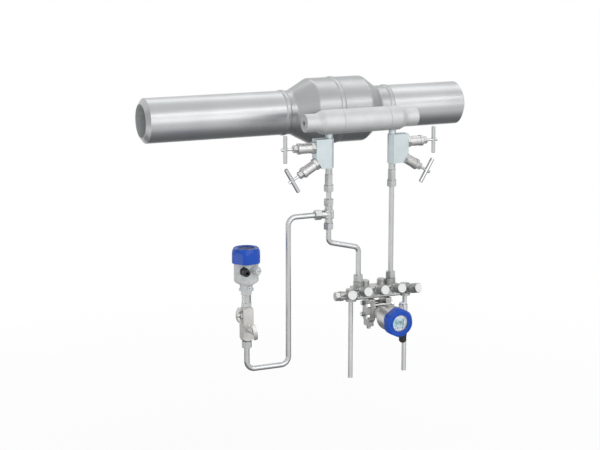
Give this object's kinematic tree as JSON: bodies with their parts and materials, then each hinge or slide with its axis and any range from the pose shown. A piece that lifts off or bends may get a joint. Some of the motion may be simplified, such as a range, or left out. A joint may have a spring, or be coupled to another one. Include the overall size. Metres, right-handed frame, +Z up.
{
  "type": "nozzle flowmeter",
  "caption": "Weld-in flow nozzle meter run with condensate pots, double block valves, impulse tubes, a valve manifold and two pressure transmitters.",
  "frame": {"origin": "centre of the upstream weld end, on the pipe axis", "axes": "+X runs downstream along the pipe, -Y points at the instrument side, +Z is up"},
  "size_m": [1.046, 0.5067, 0.8752],
  "materials": {
    "pipe_steel": "satin, turned along the pipe",
    "weld_metal": "ground and brushed",
    "nozzle_steel": "turned",
    "pot_steel": "fine blasted matt",
    "plug_steel": "turned",
    "block_steel": "fine milled, pale",
    "bonnet_steel": "turned",
    "graphite": "pressed graphite",
    "polished_bar": "polished",
    "fitting_steel": "bright machined",
    "tube_steel": "drawn, lightly polished",
    "manifold_steel": "machined, satin",
    "knob_steel": "dark grip",
    "dp_housing_steel": "satin grey",
    "pt_housing_paint": "powder coat, light grey",
    "cover_blue": "powder coat, blue",
    "window_glass": "clear",
    "display_plastic": "white face with a liquid crystal panel",
    "pt_block_steel": "turned and milled",
    "gland_black": "black polyamide",
    "blind_plug_metal": "bright"
  },
  "bodies": {
    "root": {"blind_plugs": "blind_plug_metal", "cable_glands": "gland_black", "compression_nuts": "fitting_steel", "cutting_rings": "fitting_steel", "display_modules": "display_plastic", "downstream_body": "pipe_steel", "downstream_pot": "pot_steel", "downstream_valve_block": "block_steel", "dp_housing": "dp_housing_steel", "drain_plugs": "manifold_steel", "drain_tubes": "tube_steel", "drain_valve_bodies": "manifold_steel", "flange_bolts": "plug_steel", "flow_nozzle": "nozzle_steel", "inlet_pipe": "pipe_steel", "manifold_block": "manifold_steel", "manifold_heads": "manifold_steel", "manifold_plugs": "plug_steel", "manifold_tube": "tube_steel", "measuring_cell": "manifold_steel", "outlet_pipe": "pipe_steel", "packing_nuts": "bonnet_steel", "pot_fill_plugs": "plug_steel", "pressure_taps": "pot_steel", "pressure_tube": "tube_steel", "process_flanges": "manifold_steel", "pt_adapter": "pt_block_steel", "pt_block": "pt_block_steel", "pt_bonnets": "pt_block_steel", "pt_housing": "pt_housing_paint", "stem_packings": "graphite", "straight_tubes": "tube_steel", "stub_pipes": "block_steel", "tee_body": "fitting_steel", "upstream_body": "pipe_steel", "upstream_pot": "pot_steel", "upstream_valve_block": "block_steel", "valve_bonnets": "bonnet_steel", "vent_plugs": "plug_steel", "weld_fittings": "fitting_steel", "weld_seams": "weld_metal"},
    "upstream_upper_valve": {"upstream_upper_stem": "polished_bar", "upstream_upper_t_bar": "polished_bar"},
    "upstream_lower_valve": {"upstream_lower_stem": "polished_bar", "upstream_lower_t_bar": "polished_bar"},
    "downstream_upper_valve": {"downstream_upper_stem": "polished_bar", "downstream_upper_t_bar": "polished_bar"},
    "downstream_lower_valve": {"downstream_lower_stem": "polished_bar", "downstream_lower_t_bar": "polished_bar"},
    "upstream_drain_valve": {"upstream_drain_knob": "knob_steel"},
    "upstream_isolating_valve": {"upstream_isolating_knob": "knob_steel"},
    "equalizing_valve": {"equalizing_knob": "knob_steel"},
    "downstream_isolating_valve": {"downstream_isolating_knob": "knob_steel"},
    "downstream_drain_valve": {"downstream_drain_knob": "knob_steel"},
    "pt_upper_handle_part": {"pt_upper_handle": "pt_block_steel"},
    "pt_lower_handle_part": {"pt_lower_handle": "pt_block_steel"},
    "dp_cover_part": {"dp_cover": "cover_blue", "dp_window": "window_glass"},
    "pt_cover_part": {"pt_cover": "cover_blue", "pt_window": "window_glass"}
  },
  "joints": [
    {"name": "upstream_upper_turn", "type": "hinge", "parent": "root", "child": "upstream_upper_valve", "pos_m": [0.4484, -0.231, -0.073], "axis": [-1, 0, 0], "range_deg": [0, 1080]},
    {"name": "upstream_lower_turn", "type": "hinge", "parent": "root", "child": "upstream_lower_valve", "pos_m": [0.4575, -0.231, -0.1185], "axis": [-0.8624, 0, -0.5063], "range_deg": [0, 1080]},
    {"name": "downstream_upper_turn", "type": "hinge", "parent": "root", "child": "downstream_upper_valve", "pos_m": [0.7476, -0.231, -0.073], "axis": [1, 0, 0], "range_deg": [0, 1080]},
    {"name": "downstream_lower_turn", "type": "hinge", "parent": "root", "child": "downstream_lower_valve", "pos_m": [0.7385, -0.231, -0.1185], "axis": [0.8624, 0, -0.5063], "range_deg": [0, 1080]},
    {"name": "upstream_drain_turn", "type": "hinge", "parent": "root", "child": "upstream_drain_valve", "pos_m": [0.55434, -0.26329, -0.51606], "axis": [-0.3319, -0.9118, 0.2419], "range_deg": [0, 1080]},
    {"name": "upstream_isolating_turn", "type": "hinge", "parent": "root", "child": "upstream_isolating_valve", "pos_m": [0.5915, -0.25715, -0.51221], "axis": [0, -0.9703, 0.2419], "range_deg": [0, 1080]},
    {"name": "equalizing_turn", "type": "hinge", "parent": "root", "child": "equalizing_valve", "pos_m": [0.647, -0.25715, -0.51221], "axis": [0, -0.9703, 0.2419], "range_deg": [0, 1080]},
    {"name": "downstream_isolating_turn", "type": "hinge", "parent": "root", "child": "downstream_isolating_valve", "pos_m": [0.7025, -0.25715, -0.51221], "axis": [0, -0.9703, 0.2419], "range_deg": [0, 1080]},
    {"name": "downstream_drain_turn", "type": "hinge", "parent": "root", "child": "downstream_drain_valve", "pos_m": [0.73965, -0.26329, -0.51606], "axis": [0.3319, -0.9118, 0.2419], "range_deg": [0, 1080]},
    {"name": "pt_upper_handle_turn", "type": "hinge", "parent": "root", "child": "pt_upper_handle_part", "pos_m": [0.218, -0.231, -0.548], "axis": [-1, 0, 0], "range_deg": [0, 90]},
    {"name": "pt_lower_handle_turn", "type": "hinge", "parent": "root", "child": "pt_lower_handle_part", "pos_m": [0.234, -0.247, -0.586], "axis": [0, -1, 0], "range_deg": [0, 90]},
    {"name": "dp_cover_turn", "type": "hinge", "parent": "root", "child": "dp_cover_part", "pos_m": [0.647, -0.3775, -0.5775], "axis": [0, -1, 0], "range_deg": [0, 1440]},
    {"name": "pt_cover_turn", "type": "hinge", "parent": "root", "child": "pt_cover_part", "pos_m": [0.234, -0.231, -0.391], "axis": [0, 0, 1], "range_deg": [0, 1440]}
  ]
}
